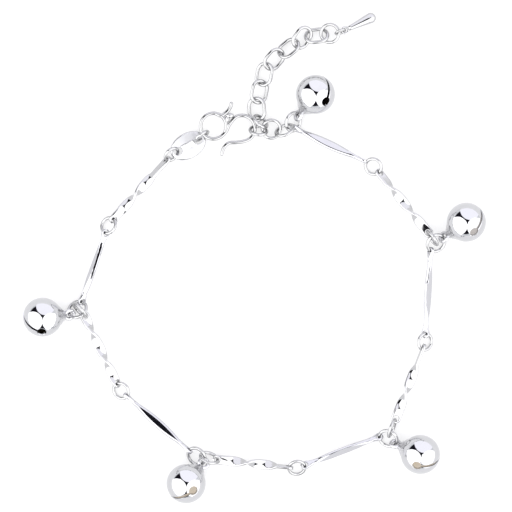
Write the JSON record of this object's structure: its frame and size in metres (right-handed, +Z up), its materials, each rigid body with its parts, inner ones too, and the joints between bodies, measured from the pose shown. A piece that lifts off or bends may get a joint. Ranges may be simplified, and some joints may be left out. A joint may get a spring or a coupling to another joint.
{
  "type": "bell bracelet",
  "caption": "Silver-plated chain bracelet of twisted strips and long bars on jump rings, with round jingle bells, an M-shaped wire clasp, an oval tag and a short extension chain with a drop.",
  "frame": {"origin": "middle of the bracelet's box, on the surface it lies on", "axes": "+Z up from the surface it lies on, +Y towards the clasp and the extension chain, +X to the right seen from above with the clasp at the far side"},
  "size_m": [0.0738, 0.0784, 0.0063],
  "materials": {
    "silver": "polished silver plating on brass",
    "steel": "plain grey steel"
  },
  "bodies": {
    "root": {"tag_ring_clasp": "silver", "tag_ring_chain": "silver", "plain_ring_1": "silver", "plain_ring_2": "silver", "plain_ring_3": "silver", "plain_ring_4": "silver", "plain_ring_5": "silver", "bell_ring_1": "silver", "bell_ring_2": "silver", "bell_ring_3": "silver", "bell_ring_4": "silver", "bell_ring_5": "silver", "link_ring_1": "silver", "link_ring_2": "silver", "link_ring_3": "silver", "link_ring_4": "silver", "link_ring_5": "silver", "end_ring": "silver", "hook_ring": "silver", "extension_ring": "silver", "extension_1": "silver", "extension_2": "silver", "extension_3": "silver", "extension_4": "silver", "extension_5": "silver", "extension_6": "silver", "extension_7": "silver", "extension_8": "silver", "strip_1": "silver", "strip_2": "silver", "strip_3": "silver", "strip_4": "silver", "strip_5": "silver", "bar_1": "silver", "bar_2": "silver", "bar_3": "silver", "bar_4": "silver", "bar_5": "silver", "bell_1": "silver", "bell_2": "silver", "bell_3": "silver", "bell_4": "silver", "bell_5": "silver", "pellet_1": "steel", "pellet_2": "steel", "pellet_3": "steel", "pellet_4": "steel", "pellet_5": "steel", "m_clasp": "silver", "tag": "silver", "drop_ring": "silver", "drop": "silver"}
  },
  "joints": []
}
